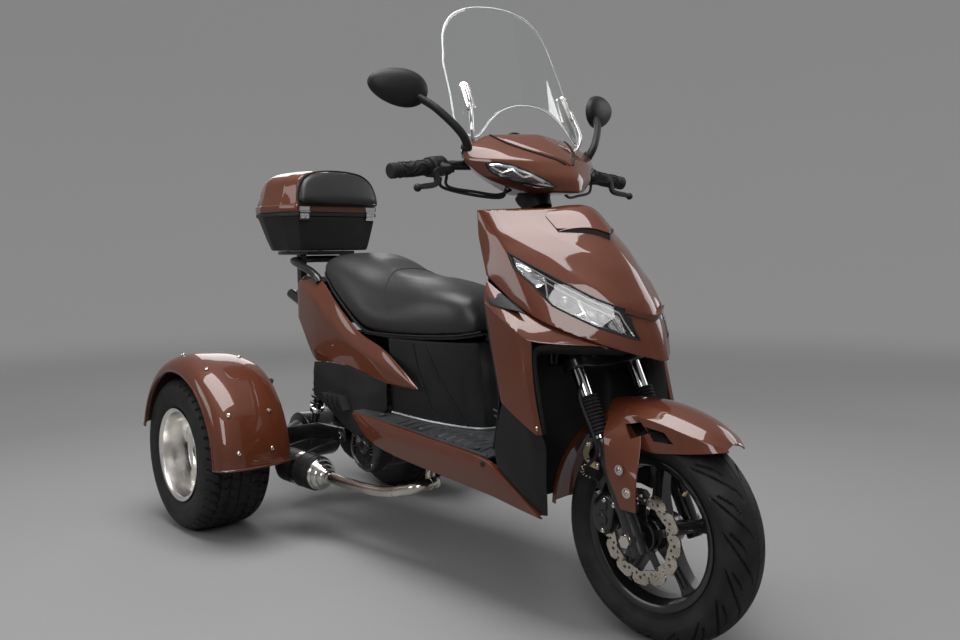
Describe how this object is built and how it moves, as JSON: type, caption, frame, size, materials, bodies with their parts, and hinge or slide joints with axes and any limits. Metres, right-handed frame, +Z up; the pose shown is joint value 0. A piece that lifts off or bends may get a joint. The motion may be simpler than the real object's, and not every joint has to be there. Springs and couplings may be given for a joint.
{
  "type": "three-wheeled motor scooter",
  "caption": "Motor scooter on one steered front wheel and a rigid rear axle, with hinged seat, windscreen and lidded top box.",
  "frame": {"origin": "on the ground under the centre of the footprint", "axes": "+X forward, +Y to the rider's left, +Z up"},
  "size_m": [1.9084, 0.972, 1.413],
  "materials": {
    "brown_paint": "gloss, fine metallic red-brown",
    "black_plastic": "fine-grained moulded",
    "dark_plastic": "fine-grained dark grey",
    "black_rubber": "matt",
    "tyre": "matt tread",
    "black_metal": "satin black paint",
    "engine_metal": "dark cast",
    "polished_steel": "polished",
    "polished_aluminium": "machined and polished",
    "chrome": "mirror",
    "lamp_lens": "clear lens over silver and black",
    "red_lens": "red lens",
    "clear_acrylic": "clear sheet",
    "black_leather": "smooth leatherette"
  },
  "bodies": {
    "chassis": {"frame": "black_metal", "front_cowl": "brown_paint", "cowl_floor": "black_plastic", "headlamps": "lamp_lens", "leg_shield": "brown_paint", "lower_covers": "dark_plastic", "sills": "brown_paint", "wheel_well": "black_plastic", "inner_shield": "black_plastic", "floorboard": "black_rubber", "seat_base": "dark_plastic", "storage_bin": "black_plastic", "tail_panels": "brown_paint", "side_covers": "dark_plastic", "belly_pan": "black_plastic", "box_base": "dark_plastic", "grab_rail": "black_metal", "engine": "engine_metal", "axle_beam": "black_metal", "rear_shocks": "black_metal", "exhaust_pipe": "polished_steel", "muffler": "black_metal", "rear_fenders": "brown_paint", "tail_lamp": "red_lens", "plate_bracket": "black_plastic"},
    "steering": {"fork_yoke": "chrome", "fork_boots": "black_rubber", "fork_legs": "black_metal", "front_axle": "polished_steel", "brake_caliper": "black_metal", "front_fender": "brown_paint", "handlebar": "black_metal", "grips": "black_rubber", "levers": "black_metal", "nacelle": "brown_paint", "nacelle_lamps": "lamp_lens", "dash": "black_plastic", "mirrors": "black_plastic", "windscreen": "clear_acrylic", "screen_posts": "chrome", "brake_hose": "black_rubber"},
    "front_wheel": {"front_tyre": "tyre", "front_rim": "black_metal", "brake_disc": "polished_steel"},
    "rear_wheel_left": {"rear_tyre_left": "tyre", "rear_rim_left": "polished_aluminium", "rear_hub_left": "black_metal"},
    "rear_wheel_right": {"rear_tyre_right": "tyre", "rear_rim_right": "polished_aluminium", "rear_hub_right": "black_metal"},
    "seat_lid": {"seat_cushion": "black_leather", "seat_pan": "black_plastic"},
    "box_cover": {"box_lid": "brown_paint", "backrest_pad": "black_leather"}
  },
  "joints": [
    {"name": "steer", "type": "hinge", "parent": "chassis", "child": "steering", "pos_m": [0.69024, 0, 0.22197], "axis": [-0.4384, 0, 0.8988], "range_deg": [-33, 33]},
    {"name": "front_wheel_spin", "type": "hinge", "parent": "steering", "child": "front_wheel", "pos_m": [0.719, 0, 0.236], "axis": [0, 1, 0], "continuous": true},
    {"name": "rear_left_spin", "type": "hinge", "parent": "chassis", "child": "rear_wheel_left", "pos_m": [-0.711, 0.37, 0.2295], "axis": [0, 1, 0], "continuous": true},
    {"name": "rear_right_spin", "type": "hinge", "parent": "chassis", "child": "rear_wheel_right", "pos_m": [-0.711, -0.37, 0.2295], "axis": [0, 1, 0], "continuous": true},
    {"name": "seat_hinge", "type": "hinge", "parent": "chassis", "child": "seat_lid", "pos_m": [0.196, 0, 0.607], "axis": [0, 1, 0], "range_deg": [0, 65]},
    {"name": "box_hinge", "type": "hinge", "parent": "chassis", "child": "box_cover", "pos_m": [-0.5355, 0, 0.945], "axis": [0, 1, 0], "range_deg": [0, 60]}
  ]
}
